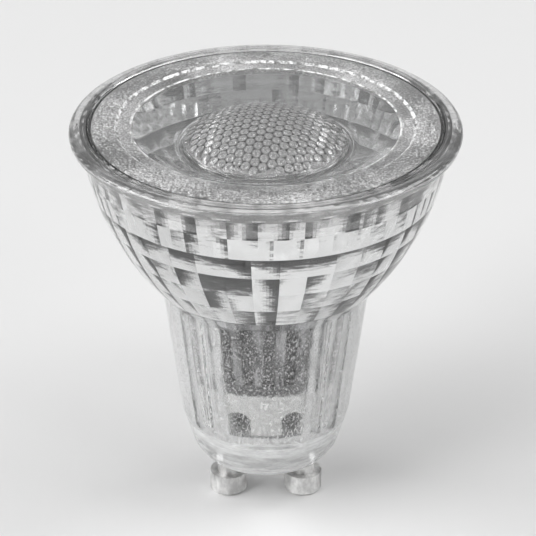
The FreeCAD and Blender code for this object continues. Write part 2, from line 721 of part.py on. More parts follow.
def fusible_resistor():
    """Axial resistor across the board above the packages, with its leads bent back to the board."""
    half = FUSE_LENGTH / 2
    cap = half - FUSE_CAP_LENGTH
    waist = FUSE_RADIUS - FUSE_WAIST
    body = turned(
        (0, -half), (waist, -half), (FUSE_RADIUS, -half + FUSE_WAIST), (FUSE_RADIUS, -cap),
        (waist, -cap + FUSE_WAIST), (waist, cap - FUSE_WAIST), (FUSE_RADIUS, cap),
        (FUSE_RADIUS, half - FUSE_WAIST), (waist, half), (0, half))
    pieces = [body, rod(LEAD_RADIUS, -half - FUSE_LEAD, half + FUSE_LEAD)]
    for side in (-1, 1):
        bend_z = side * (half + FUSE_LEAD - LEAD_RADIUS)
        pieces.append(Part.makeCylinder(LEAD_RADIUS, FUSE_RADIUS, vec(0, 0, bend_z), vec(0, 1, 0)))
    resistor = joined(pieces)
    resistor.rotate(vec(0, 0, 0), vec(0, 1, 0), 90)
    resistor.translate(vec(0, board_front_y - FUSE_RADIUS, fuse_z))
    return resistor


SIDES = (("left", -1), ("right", 1))
parts = {
    "glass_body": glass_body(),
    "front_lens": front_lens(),
    "lens_adhesive": lens_adhesive(),
    "heat_spreader": heat_spreader(),
    "thermal_pad": thermal_pad(),
    "led_board": led_board(),
    "led_dam_ring": led_dam_ring(),
    "led_phosphor": led_phosphor(),
    "board_screw_front": board_screw(-1),
    "board_screw_back": board_screw(1),
    "driver_insulator": driver_insulator(),
    "driver_board": driver_board(),
    "input_capacitor": input_capacitor(),
    "output_capacitor": output_capacitor(),
    "inductor_core": inductor_core(),
    "inductor_winding": inductor_winding(),
    "bridge_rectifier": board_package(
        RECTIFIER_HEIGHT, RECTIFIER_LENGTH, -1, RECTIFIER_LEGS, RECTIFIER_LEG_PITCH),
    "driver_chip": board_package(CHIP_HEIGHT, CHIP_LENGTH, 1, CHIP_LEGS, CHIP_LEG_PITCH),
    "fusible_resistor": fusible_resistor(),
}
for name, side in SIDES:
    parts["contact_pin_" + name] = contact_pin(side)
    parts["pin_wire_" + name] = pin_wire(side)
    parts["led_wire_" + name] = led_wire(side)

for name, shape in parts.items():
    shape.exportStep(f"parts/{name}.step")
    print(name, "solids", len(shape.Solids), "valid", shape.isValid(), "volume", round(shape.Volume, 2))
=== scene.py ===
import math
import random

import bmesh
import bpy
from mathutils import Matrix, Vector
from mathutils.geometry import delaunay_2d_cdt


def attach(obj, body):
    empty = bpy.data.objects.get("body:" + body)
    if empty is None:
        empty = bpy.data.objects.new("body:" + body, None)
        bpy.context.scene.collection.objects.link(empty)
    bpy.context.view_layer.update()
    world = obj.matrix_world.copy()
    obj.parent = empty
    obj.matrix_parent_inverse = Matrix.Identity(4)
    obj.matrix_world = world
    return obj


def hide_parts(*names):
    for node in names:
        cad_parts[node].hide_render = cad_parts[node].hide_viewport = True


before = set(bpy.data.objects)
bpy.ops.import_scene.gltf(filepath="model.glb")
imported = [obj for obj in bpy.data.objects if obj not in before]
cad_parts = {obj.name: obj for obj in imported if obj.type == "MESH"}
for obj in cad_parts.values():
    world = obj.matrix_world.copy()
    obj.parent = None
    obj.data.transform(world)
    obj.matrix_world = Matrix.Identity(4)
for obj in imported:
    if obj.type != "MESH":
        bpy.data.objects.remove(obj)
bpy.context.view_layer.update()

MM = 0.001

# Sizes of the glass body, the same as the part's source gives them, in millimetres
BASE_Z, BEVEL_Z, SHOULDER_Z, NECK_TOP_Z, BOWL_TOP_Z = 7.3, 8.84, 13.68, 31.9, 50.3
FLANGE_Z, TOP_Z = 53.1, 54.67
FACE_R, BEVEL_R, SHOULDER_R, NECK_TOP_R, BOWL_TOP_R = 8.5, 9.63, 11.09, 13.56, 23.11
ROOT_R, FLANGE_R, TOP_R = 24.05, 25.0, 24.0
BOWL_CURVE = 38.0
FLOOR_Z, LEDGE_Z, SEAT_Z = 10.2, 33.9, 52.57
FLOOR_FILLET = 1.2
SEAT_R, RIM_BORE_R = 22.5, 21.3
NECK_WALL, BOWL_WALL = 2.1, 2.0
FINE_ROWS, COARSE_ROWS, FINE_COLUMNS, COARSE_COLUMNS = 2, 4, 72, 36
FINE_ROW_HEIGHT, FACET_STEP = 3.1, 0.12
PANEL_CURVE, PANEL_DEPTH, PANEL_BOTTOM_Z = 24.0, 0.75, 12.68
GROOVE_BOTTOM_Z = 14.18
NECK_SLOPE = (NECK_TOP_R - SHOULDER_R) / (NECK_TOP_Z - SHOULDER_Z)
PIN_X, PIN_HOLE_R, PIN_SEAT_R, PIN_SEAT_DEPTH = 5.0, 1.5, 2.4, 0.2

# Each groove's angle from the panel's middle in degrees, radius of its tool, and depth
GROOVES = ((37.0, 0.45, 0.25), (51.0, 1.0, 0.55))

# Sizes of the front lens
LENS_R, STEP_R, RECESS_R = 22.2, 19.1, 17.2
RECESS_Z, DOME_Z, DOME_R, DOME_HEIGHT = 51.95, 52.3, 10.5, 3.2
DOME_EDGE_R = DOME_R - 0.08
LENSLET_PITCH, LENSLET_HEIGHT, LENSLET_TURN = 1.24, 0.2, math.radians(21)
BACK_SEAT_R, BACK_R, ROOT_Z = 18.05, 17.9, 50.25
COLLIMATOR_R, COLLIMATOR_BULGE, FOOT_R, FOOT_Z = 10.7, 1.1, 5.4, 36.9
CAVITY_R, CAVITY_TAPER, CAVITY_HEIGHT = 4.6, 0.4, 5.6
CAVITY_LENS_R, CAVITY_LENS_HEIGHT = 4.2, 1.1
CAVITY_TOP_Z = FOOT_Z + CAVITY_HEIGHT

# Hair's breadth that keeps glass and lens clear of what they touch
HAIR = 0.02

# Steps round the rings in degrees, and the zone of the grooves, where they are a third as wide
RING_STEP, LENS_STEP = 1.25, 1.5
GROOVE_ZONE = (33, 58)

# Facets: steps up and swell of the fine and the coarse ones, and how far each leans and turns
FINE_FACET, COARSE_FACET = (4, 0.04), (6, 0.07)
FACET_LEAN, FACET_TURN = 0.03, 0.02
CRISP_DEGREES = 3.2

# Painted reflections on the facets: tone of each ring of facets with its change downwards, and the
# reach of chance on it
ROW_PAINTED_REFLECTIONS = ((0.59, 0.0), (0.8, 0.2), (0.6, 0.75), (0.61, 0.3), (0.64, 0.0), (0.66, 0.0))
COLUMN_TOSS, FACET_TOSS, SLANT_TOSS = 0.13, 0.22, 0.6
FACET_PAINTED_REFLECTIONS = ((0.2, 0.06), (0.42, 0.13), (0.52, 0.5), (0.66, 0.98))
FACET_ROUGH, FACET_METAL = 0.1, 0.8

# Where the clear panel of the bore ends and over how many degrees it fades
WINDOW_ANGLE, WINDOW_FADE = 28.5, 3

# Dark lines in the bore's strips: angle, reach in degrees, and strength
GROOVE_SHADES = ((37.0, 3.0, 0.6), (51.0, 6.0, 1.3), (72.0, 4.0, 0.5))

# Painted highlights and painted shade (gleams) of the rim, and how often they come round
RIM_PAINTED_SHADE, RIM_PAINTED_HIGHLIGHT, RIM_TOP_PAINTED_SHADE = -0.4, 0.4, -0.3
PAINTED_GLEAM_COUNT, PAINTED_GLEAM_SHIFT = 36, 3.1

# Walls of the glass that are frosted, from the base face up
FROSTED_WALLS = 15

# Height above which the plastic cup is painted nearly black as painted shade, and above which the
# pins' ends are painted dark as painted shade
PAINTED_SHADE_Z = 20.4
RIVET_SHADE_Z = FLOOR_Z - 1.0

# Material slots of the glass body and of the lens
SMOOTH, PEBBLE, FACET, RIM, BORE, BASE = range(6)
CLEAR, FROST, DOME, LINE = range(4)

GLASS_IOR, DENSE_IOR, LENS_IOR, ADHESIVE_IOR = 1.5, 1.6, 1.49, 1.42

# Backdrop and aim of the studio lights, in metres
FLAT_ROWS, CURVE_STEPS, WALL_ROWS = 3, 18, 5
CURVE_Y, CURVE_R, WALL_STEP = 2.0, 1.2, 0.3
LAMP_AIM = Vector((0, 0, 0.03))

# How far the camera looks down, its distance, and the height it looks at, in millimetres
VIEW_DOWN, VIEW_DISTANCE, VIEW_HEIGHT = math.radians(28.5), 376.5, 33.77


def neck_radius(z):
    return SHOULDER_R + NECK_SLOPE * (z - SHOULDER_Z)


def shoulder_radius(z):
    return BEVEL_R + (z - BEVEL_Z) * (SHOULDER_R - BEVEL_R) / (SHOULDER_Z - BEVEL_Z)


def bowl_radius(z):
    chord = math.hypot(BOWL_TOP_R - NECK_TOP_R, BOWL_TOP_Z - NECK_TOP_Z)
    reach = math.sqrt(BOWL_CURVE ** 2 - (chord / 2) ** 2)
    centre_r = (BOWL_TOP_R + NECK_TOP_R) / 2 - reach * (BOWL_TOP_Z - NECK_TOP_Z) / chord
    centre_z = (BOWL_TOP_Z + NECK_TOP_Z) / 2 + reach * (BOWL_TOP_R - NECK_TOP_R) / chord
    return centre_r + math.sqrt(BOWL_CURVE ** 2 - (z - centre_z) ** 2)


def softer_min(a, b, blend):
    """Smaller of two lengths, with the corner where they meet rounded over."""
    share = max(blend - abs(a - b), 0) / blend
    return min(a, b) - share * share * blend / 4


def panel_surface(angle, z):
    """Radius of the gently curved panels at the neck's front and back."""
    curve = PANEL_CURVE + NECK_SLOPE * (z - PANEL_BOTTOM_Z)
    centre = PANEL_CURVE - neck_radius(PANEL_BOTTOM_Z) + PANEL_DEPTH
    fold = abs((angle + math.pi / 2) % math.pi - math.pi / 2)
    inside = curve ** 2 - (centre * math.sin(fold)) ** 2
    panel = math.sqrt(inside) - centre * math.cos(fold)
    return panel + max(PANEL_BOTTOM_Z - z, 0) * 2.5


def neck_surface(angle, z):
    """Outer radius of the pressed neck at an angle from the front, with its panels and grooves."""
    radius = neck_radius(z) if z > SHOULDER_Z else shoulder_radius(z)
    if z > PANEL_BOTTOM_Z - 0.6:
        radius = softer_min(radius, panel_surface(angle, z), 0.12)
    degrees = math.degrees(angle) % 360
    below = max(GROOVE_BOTTOM_Z - z, 0)
    for middle, tool, depth in GROOVES:
        axis = neck_radius(max(z, GROOVE_BOTTOM_Z)) + tool - depth
        for place in (middle, 180 - middle, 180 + middle, 360 - middle):
            off = math.radians(degrees - place)
            side = axis * math.sin(off)
            if below >= tool or abs(side) >= math.sqrt(tool ** 2 - below ** 2):
                continue
            cut = axis * math.cos(off) - math.sqrt(tool ** 2 - below ** 2 - side ** 2)
            if math.cos(off) > 0:
                radius = softer_min(radius, cut, 0.08)
    return radius


def fold_degrees(degrees):
    """Angle from the nearer of the lamp's front and back."""
    return abs((degrees + 90) % 180 - 90)


def outer_angles():
    """Even steps all round, closer together where the neck's grooves run."""
    angles = []
    for k in range(int(360 / RING_STEP)):
        start = RING_STEP * k
        fold = fold_degrees(start + RING_STEP / 2)
        parts = 3 if GROOVE_ZONE[0] < fold < GROOVE_ZONE[1] else 1
        angles += [start + RING_STEP * j / parts for j in range(parts)]
    return [math.radians(a) for a in angles]


def even_angles(step):
    return [math.radians(step * k) for k in range(int(360 / step))]


def spaced(low, high, count):
    return [low + (high - low) * k / count for k in range(count + 1)]


class Rings:
    """Closed skins made of rings of points round the lamp's axis."""

    def __init__(self, name):
        self.name = name
        self.bm = bmesh.new()

    def point(self, x, y, z):
        return self.bm.verts.new((x * MM, y * MM, z * MM))

    def ring(self, angles, radius, z):
        points = []
        for k, angle in enumerate(angles):
            r = radius(k, angle) if callable(radius) else radius
            points.append(self.point(r * math.sin(angle), -r * math.cos(angle), z))
        return points

    def circle(self, x, radius, z, count=48):
        turns = [2 * math.pi * k / count for k in range(count)]
        return [self.point(x + radius * math.cos(a), radius * math.sin(a), z) for a in turns]

    def wall(self, low, high, slot=0, smooth=True):
        faces = []
        count = len(low)
        for k in range(count):
            after = (k + 1) % count
            face = self.bm.faces.new((low[k], low[after], high[after], high[k]))
            face.material_index = slot
            face.smooth = smooth
            faces.append(face)
        return faces

    def flat(self, *loops, slot=0):
        """Fills the flat region between an outer loop and the loops inside it."""
        edges = []
        for loop in loops:
            for a, b in zip(loop, loop[1:] + loop[:1]):
                edges.append(self.bm.edges.get((a, b)) or self.bm.edges.new((a, b)))
        made = bmesh.ops.triangle_fill(self.bm, use_beauty=True, edges=edges)
        for item in made["geom"]:
            if isinstance(item, bmesh.types.BMFace):
                item.material_index = slot
                item.smooth = False

    def sharpen(self, edges, degrees):
        for edge in edges:
            if len(edge.link_faces) == 2 and edge.calc_face_angle(0) > math.radians(degrees):
                edge.smooth = False

    def done(self, *materials, sharp_degrees):
        bmesh.ops.recalc_face_normals(self.bm, faces=self.bm.faces)
        self.sharpen(self.bm.edges, sharp_degrees)
        open_edges = sum(1 for edge in self.bm.edges if len(edge.link_faces) != 2)
        mesh = bpy.data.meshes.new(self.name)
        self.bm.to_mesh(mesh)
        self.bm.free()
        for mat in materials:
            mesh.materials.append(mat)
        thing = bpy.data.objects.new(self.name, mesh)
        bpy.context.scene.collection.objects.link(thing)
        print(self.name, "faces", len(mesh.polygons), "open edges", open_edges)
        return thing


# Materials

def tint(tone):
    """A grey from one number, or a colour from three."""
    return (tone, tone, tone, 1) if isinstance(tone, (int, float)) else (*tone, 1)


def material(name, tone, **values):
    mat = bpy.data.materials.new(name)
    mat.use_nodes = True
    shader = mat.node_tree.nodes["Principled BSDF"]
    shader.inputs["Base Color"].default_value = tint(tone)
    for key, value in values.items():
        shader.inputs[key].default_value = value
    return mat, shader, mat.node_tree


def clear(name, tone, rough, ior):
    mat, shader, tree = material(name, tone, Roughness=rough, IOR=ior)
    shader.inputs["Transmission Weight"].default_value = 1.0
    return mat, shader, tree


def node(tree, kind, **values):
    made = tree.nodes.new(kind)
    for key, value in values.items():
        if key in made.inputs:
            made.inputs[key].default_value = value
        else:
            setattr(made, key, value)
    return made


def noise(tree, scale, detail, rough=0.5, stretch=None):
    place = node(tree, "ShaderNodeTexCoord")
    shift = node(tree, "ShaderNodeMapping")
    if stretch:
        shift.inputs["Scale"].default_value = stretch
    tree.links.new(place.outputs["Object"], shift.inputs["Vector"])
    made = node(tree, "ShaderNodeTexNoise", Scale=scale, Detail=detail, Roughness=rough)
    tree.links.new(shift.outputs["Vector"], made.inputs["Vector"])
    return made.outputs["Fac"]


def attribute(tree, name):
    return node(tree, "ShaderNodeAttribute", attribute_name=name).outputs["Fac"]


def ramp(tree, source, low, high, low_value, high_value):
    made = node(tree, "ShaderNodeMapRange")
    ends = {"From Min": low, "From Max": high, "To Min": low_value, "To Max": high_value}
    for key, value in ends.items():
        made.inputs[key].default_value = value
    tree.links.new(source, made.inputs["Value"])
    return made.outputs["Result"]


def stops(tree, source, tones):
    """Tones at places along a source's values."""
    made = node(tree, "ShaderNodeValToRGB")
    marks = made.color_ramp.elements
    while len(marks) < len(tones):
        marks.new(0.5)
    for mark, (place, tone) in zip(marks, tones):
        mark.position = place
        mark.color = tint(tone)
    tree.links.new(source, made.inputs["Fac"])
    return made.outputs["Color"]


def two_tone(tree, source, dark, light, low=0.35, high=0.65):
    return stops(tree, source, ((low, dark), (high, light)))


def combine(tree, operation, a, b):
    made = node(tree, "ShaderNodeMath", operation=operation)
    tree.links.new(a, made.inputs[0])
    tree.links.new(b, made.inputs[1])
    return made.outputs["Value"]


def plus(tree, a, b):
    return combine(tree, "ADD", a, b)


def bump(tree, shader, source, distance, strength):
    made = node(tree, "ShaderNodeBump", Strength=strength, Distance=distance)
    tree.links.new(source, made.inputs["Height"])
    tree.links.new(made.outputs["Normal"], shader.inputs["Normal"])


def height_mask(tree, low, high):
    """Rises from 0 to 1 between two heights of the object."""
    place = node(tree, "ShaderNodeTexCoord")
    split = node(tree, "ShaderNodeSeparateXYZ")
    tree.links.new(place.outputs["Object"], split.inputs["Vector"])
    return ramp(tree, split.outputs["Z"], low * MM, high * MM, 0.0, 1.0)


def smooth_glass():
    mat, shader, tree = clear("pressed_glass", (0.95, 0.955, 0.955), 0.0, GLASS_IOR)
    bump(tree, shader, noise(tree, 260, 2.0, 0.5, (1, 1, 0.35)), 0.00006, 0.25)
    return mat


def rim_glass_painted_gleams():
    """Cloudy glass, with painted highlights and painted shade (gleams) where the faces' tones ask
    for them.
    """
    mat, shader, tree = clear("rim_glass_painted_gleams", (0.86, 0.865, 0.865), 0.07, DENSE_IOR)
    clouds = noise(tree, 420, 5.0, 0.7, (0.5, 0.5, 1.6))
    tone = plus(tree, attribute(tree, "tone"), ramp(tree, clouds, 0.3, 0.7, -0.25, 0.25))
    painted_gleam = ramp(tree, tone, -1.0, 1.0, 0.0, 1.0)
    tones = stops(tree, painted_gleam, ((0.2, 0.2), (0.45, 0.8), (0.65, 0.88), (0.8, 1.0)))
    tree.links.new(tones, shader.inputs["Base Color"])
    see_through = ramp(tree, painted_gleam, 0.5, 0.85, 0.85, 0.25)
    tree.links.new(see_through, shader.inputs["Transmission Weight"])
    bump(tree, shader, clouds, 0.00005, 0.3)
    return mat


def base_glass():
    """Frosted glass of the base and the lower neck."""
    mat, shader, tree = clear("base_glass", (0.86, 0.865, 0.865), 0.15, GLASS_IOR)
    clouds = noise(tree, 700, 4.0, 0.7, (0.4, 0.4, 2.0))
    see_through = ramp(tree, clouds, 0.4, 0.65, 0.7, 0.45)
    tree.links.new(see_through, shader.inputs["Transmission Weight"])
    bump(tree, shader, clouds, 0.00005, 0.4)
    return mat


def bore_glass():
    """Clear behind the panels, and bright upright streaks where the faces' tones are high."""
    mat, shader, tree = clear("bore_glass", (0.95, 0.955, 0.955), 0.05, DENSE_IOR)
    streaks = ramp(tree, noise(tree, 520, 4.0, 0.7, (1, 1, 0.06)), 0.3, 0.7, -0.5, 0.5)
    sheen = plus(tree, attribute(tree, "tone"), streaks)
    tree.links.new(ramp(tree, sheen, 0.5, 1.0, 0.0, 0.3), shader.inputs["Metallic"])
    see_through = ramp(tree, sheen, 0.4, 0.9, 1.0, 0.0)
    tree.links.new(see_through, shader.inputs["Transmission Weight"])
    bump(tree, shader, noise(tree, 260, 2.0, 0.5, (1, 1, 0.35)), 0.00006, 0.25)
    return mat


def facet_glass_painted_reflections():
    """Light and dark of the mosaic painted from each face's tone as painted reflections, ragged by
    level streaks.
    """
    mat, shader, tree = clear("facet_glass_painted_reflections", (0.95, 0.955, 0.955), FACET_ROUGH, GLASS_IOR)
    bump(tree, shader, noise(tree, 500, 3.0, 0.6), 0.00005, 0.25)
    streaks = ramp(tree, noise(tree, 1500, 4.0, 0.7, (0.3, 0.3, 1.4)), 0.3, 0.7, -0.16, 0.16)
    tone = plus(tree, attribute(tree, "tone"), streaks)
    # Painted reflections: the face's tone picks each facet's mirror colour, from dark to light
    tree.links.new(stops(tree, tone, FACET_PAINTED_REFLECTIONS), shader.inputs["Base Color"])
    shader.inputs["Metallic"].default_value = FACET_METAL
    return mat


def pebbled_glass():
    """Clear glass covered with small grains that scatter light."""
    mat, shader, tree = clear("pebbled_glass", (0.97, 0.975, 0.975), 0.04, GLASS_IOR)
    grain = noise(tree, 4800, 2.0, 0.65, (1, 1, 0.6))
    see_through = ramp(tree, grain, 0.5, 0.63, 1.0, 0.6)
    tree.links.new(see_through, shader.inputs["Transmission Weight"])
    tree.links.new(two_tone(tree, grain, 0.6, 1, 0.34, 0.5), shader.inputs["Base Color"])
    bump(tree, shader, grain, 0.0001, 0.6)
    return mat


def clear_lens():
    mat, shader, tree = clear("clear_lens", (0.85, 0.855, 0.855), 0.0, LENS_IOR)
    shader.inputs["Transmission Weight"].default_value = 0.89
    bump(tree, shader, noise(tree, 120, 1.0, 0.4), 0.00004, 0.15)
    return mat


def frosted_band():
    """Flat outer band of the lens, with a fine sparkle in faint patches."""
    mat, shader, tree = clear("frosted_lens_band", 0.8, 0.33, LENS_IOR)
    sparkle = noise(tree, 3600, 4.0, 0.85)
    patches = ramp(tree, noise(tree, 130, 3.0, 0.6), 0.35, 0.65, -0.04, 0.04)
    grain = plus(tree, sparkle, patches)
    see_through = ramp(tree, grain, 0.48, 0.62, 0.85, 0.1)
    tree.links.new(see_through, shader.inputs["Transmission Weight"])
    tones = stops(tree, grain, ((0.42, 0.36), (0.51, 0.62), (0.58, 1.0)))
    tree.links.new(tones, shader.inputs["Base Color"])
    bump(tree, shader, grain, 0.0001, 0.35)
    return mat


def ground_edge():
    """Bright broken lines where the lens steps down."""
    mat, shader, tree = clear("ground_lens_edge", 0.95, 0.3, LENS_IOR)
    grain = noise(tree, 1100, 4.0, 0.8)
    see_through = ramp(tree, grain, 0.44, 0.56, 0.7, 0.0)
    tree.links.new(see_through, shader.inputs["Transmission Weight"])
    tree.links.new(two_tone(tree, grain, 0.4, 1, 0.42, 0.54), shader.inputs["Base Color"])
    return mat


def lenslet_plastic_painted_shade():
    """Dome of lenslets, darker in the valleys between them as painted shade."""
    mat, shader, tree = clear("lenslet_plastic_painted_shade", 0.72, 0.08, LENS_IOR)
    painted_valley_shade = attribute(tree, "valley")
    tree.links.new(two_tone(tree, painted_valley_shade, 0.92, 0.1, 0.5, 0.9), shader.inputs["Base Color"])
    see_through = ramp(tree, painted_valley_shade, 0.5, 0.9, 0.76, 0.5)
    tree.links.new(see_through, shader.inputs["Transmission Weight"])
    return mat


def clear_adhesive():
    mat, shader, tree = clear("clear_adhesive", 0.9, 0.25, ADHESIVE_IOR)
    bump(tree, shader, noise(tree, 900, 2.0, 0.5), 0.00008, 0.5)
    return mat


# The pressed glass body

def glass_outside(skin):
    """Walls from the base face to the rim's top. Gives back the first and the last ring."""
    angles = outer_angles()
    rings = []

    def outside(radius, z):
        rings.append(skin.ring(angles, radius, z))

    outside(FACE_R - 0.12, BASE_Z)
    outside(FACE_R + 0.02, BASE_Z + 0.05)
    outside(FACE_R + 0.12, BASE_Z + 0.17)
    outside(BEVEL_R - 0.15, BEVEL_Z - 0.2)
    outside(BEVEL_R - 0.03, BEVEL_Z)
    heights = spaced(BEVEL_Z + 0.25, PANEL_BOTTOM_Z - 0.5, 5)
    heights += spaced(PANEL_BOTTOM_Z - 0.35, SHOULDER_Z + 1.3, 14)
    heights += spaced(SHOULDER_Z + 1.6, NECK_TOP_Z - 0.4, 16)
    for z in heights:
        outside(lambda k, angle: neck_surface(angle, z), z)
    neck_end = len(rings)

    # The grooved neck runs out into the plain round of the bowl
    bowl_r = NECK_TOP_R + 0.04
    for share, z in ((0.55, NECK_TOP_Z - 0.12), (0.85, NECK_TOP_Z + 0.02)):
        outside(lambda k, angle: neck_surface(angle, z) * (1 - share) + bowl_r * share, z)
    for z in spaced(NECK_TOP_Z + 0.25, BOWL_TOP_Z - 0.15, 22):
        outside(bowl_radius(z), z)
    bowl_end = len(rings)
    for share in spaced(0, 1, 5):
        z = BOWL_TOP_Z + share * (FLANGE_Z - BOWL_TOP_Z)
        outside(BOWL_TOP_R + (ROOT_R - BOWL_TOP_R) * (0.35 * share + 0.65 * share ** 2), z)

    # Rounded edge of the rim
    rounding = len(rings)
    middle_z = FLANGE_Z + (TOP_Z - FLANGE_Z) / 2
    for turn in spaced(0, 90, 6)[1:]:
        a = math.radians(turn)
        outside(ROOT_R + (FLANGE_R - ROOT_R) * math.sin(a),
                middle_z - (middle_z - FLANGE_Z) * math.cos(a))
    for turn in spaced(0, 90, 7)[1:]:
        a = math.radians(turn)
        outside(TOP_R + (FLANGE_R - TOP_R) * math.cos(a),
                middle_z + (TOP_Z - middle_z) * math.sin(a))

    # Two fine pressed lines on the rim's top
    rim_top = len(rings)
    for radius, dip in ((23.72, 0.0), (23.62, 0.05), (23.52, 0.0), (23.2, 0.0),
                        (23.1, 0.04), (23.0, 0.0), (22.8, 0.0)):
        outside(radius, TOP_Z - dip)

    tone = skin.bm.faces.layers.float["tone"]
    for k, (low, high) in enumerate(zip(rings, rings[1:])):
        if k < FROSTED_WALLS:
            slot = BASE
        elif k < neck_end:
            slot = PEBBLE
        elif k < bowl_end:
            slot = SMOOTH
        else:
            slot = RIM
        faces = skin.wall(low, high, slot=slot)
        # Painted shade just under the rim's rounded edge and painted highlights on it, coming
        # round in turns, and painted shade on the rim's top
        if rounding - 4 <= k < rounding + 4:
            painted_gleam = RIM_PAINTED_SHADE if k < rounding - 1 else RIM_PAINTED_HIGHLIGHT
            for angle, face in zip(angles, faces):
                turn = PAINTED_GLEAM_COUNT * (math.degrees(angle) + PAINTED_GLEAM_SHIFT)
                face[tone] = painted_gleam * max(math.cos(math.radians(turn)) + 0.2, 0)
        elif k >= rim_top:
            for face in faces:
                face[tone] = RIM_TOP_PAINTED_SHADE
    return rings[0], rings[-1]


def facet_spot(place, per, count):
    """Column of facets that a place on a ring lies in, and its step across the facet."""
    return divmod((place + per // 2) % count, per)


def facet_rings(skin, angles, inside):
    """Rings of facets from the lens seat down, added to the inside ones.

    Gives back the row and height share of each ring, and the painted tone and slant of each facet."""
    fine_bottom = SEAT_Z - FINE_ROWS * FINE_ROW_HEIGHT
    coarse_height = (fine_bottom - LEDGE_Z) / COARSE_ROWS
    edges = [SEAT_Z - FINE_ROW_HEIGHT * k for k in range(FINE_ROWS + 1)]
    edges += [fine_bottom - coarse_height * (k + 1) for k in range(COARSE_ROWS)]
    ring_rows = {}
    toss = random.Random(11)
    facet_painted_tones = []
    column_painted_tones = {fine: [toss.uniform(-COLUMN_TOSS, COLUMN_TOSS) for _ in range(count)]
                     for fine, count in ((True, FINE_COLUMNS), (False, COARSE_COLUMNS))}
    for row, (high_z, low_z) in enumerate(zip(edges, edges[1:])):
        fine = row < FINE_ROWS
        columns = FINE_COLUMNS if fine else COARSE_COLUMNS
        steps, swell = FINE_FACET if fine else COARSE_FACET
        high_r = RIM_BORE_R if row == 0 else bowl_radius(high_z) - BOWL_WALL
        low_r = bowl_radius(low_z) - BOWL_WALL + FACET_STEP
        lean = [random.uniform(-1, 1) * FACET_LEAN for _ in range(columns)]
        turn = [random.uniform(-1, 1) * FACET_TURN for _ in range(columns)]
        per = len(angles) // columns
        half_width = math.pi / columns

        def facet(k, up, corner_r):
            column, step = facet_spot(k, per, len(angles))
            across = step / per
            off = half_width * (2 * across - 1)
            flat_r = corner_r * math.cos(half_width) / math.cos(off)
            lift = swell * (1 - (2 * across - 1) ** 2) * (1 - (2 * up - 1) ** 2)
            tip = lean[column] * (2 * up - 1) + turn[column] * (2 * across - 1)
            edge_fade = min(1.0, 6 * across, 6 * (1 - across)) if step else 0.0
            return flat_r - lift + tip * edge_fade

        for j in range(steps + 1):
            up = 1 - j / steps
            z = high_z - (high_z - low_z) * j / steps
            corner_r = high_r + (low_r - high_r) * j / steps
            if j == steps:
                z += HAIR
            inside.append(skin.ring(angles, lambda k, angle: facet(k, up, corner_r), z))
            ring_rows[len(inside) - 1] = (row, up - 0.5 / steps)
        # Painted tone of each facet from its row, its column and chance, and the painted slant of
        # light across it
        facet_painted_tones.append([(ROW_PAINTED_REFLECTIONS[row][0] + column_painted_tones[fine][column]
                        + toss.uniform(-FACET_TOSS, FACET_TOSS),
                        toss.uniform(-SLANT_TOSS, SLANT_TOSS)) for column in range(columns)])
    return ring_rows, facet_painted_tones


def glass_inside(skin):
    """Walls from the lens seat down to the floor. Gives back the first and the last ring."""
    angles = even_angles(RING_STEP)
    inside = []

    def inner_ring(radius, z):
        inside.append(skin.ring(angles, radius, z))

    inner_ring(SEAT_R + 0.12, TOP_Z)
    inner_ring(SEAT_R + HAIR, TOP_Z - 0.12)
    inner_ring(SEAT_R + HAIR, SEAT_Z - HAIR)
    inner_ring(RIM_BORE_R + 0.1, SEAT_Z - HAIR)
    facets_start = len(inside)
    ring_rows, facet_painted_tones = facet_rings(skin, angles, inside)
    bore_start = len(inside) - 1
    ledge_r = neck_radius(LEDGE_Z) - NECK_WALL
    inner_ring(ledge_r + 0.25, LEDGE_Z - HAIR)
    inner_ring(ledge_r + 0.06, LEDGE_Z - 0.08)
    for z in spaced(LEDGE_Z - 0.3, SHOULDER_Z, 8):
        inner_ring(neck_radius(z) - NECK_WALL, z)
    window_end = len(inside) - 1
    corner_z = FLOOR_Z + FLOOR_FILLET
    low_r = shoulder_radius(corner_z) - NECK_WALL
    inner_ring(low_r, corner_z)
    for turn in spaced(0, 90, 5)[1:]:
        a = math.radians(turn)
        inner_ring(low_r - FLOOR_FILLET * (1 - math.cos(a)),
                   FLOOR_Z - HAIR + FLOOR_FILLET * (1 - math.sin(a)))

    tone = skin.bm.faces.layers.float["tone"]
    for k, (high, low) in enumerate(zip(inside, inside[1:])):
        slot = BORE if k >= bore_start else FACET if k >= facets_start else SMOOTH
        faces = skin.wall(high, low, slot=slot)
        # Each facet face takes a painted tone, light and dark across the mosaic, standing in for
        # reflections
        if k in ring_rows:
            row, up = ring_rows[k]
            per = len(angles) // len(facet_painted_tones[row])
            for place, face in enumerate(faces):
                column, step = facet_spot(place, per, len(angles))
                middle, painted_slant = facet_painted_tones[row][column]
                across = (step + 0.5) / per - 0.5
                face[tone] = middle + painted_slant * across + ROW_PAINTED_REFLECTIONS[row][1] * (0.5 - up)
        elif k >= window_end:
            for face in faces:
                face[tone] = 1
        elif k >= bore_start:
            for place, face in enumerate(faces):
                fold = fold_degrees(RING_STEP * place + RING_STEP / 2)
                grooves = sum(strength * max(0, 1 - abs(fold - middle) / reach)
                              for middle, reach, strength in GROOVE_SHADES)
                face[tone] = min(max((fold - WINDOW_ANGLE) / WINDOW_FADE, 0), 1) - grooves
    return inside[0], inside[-1]


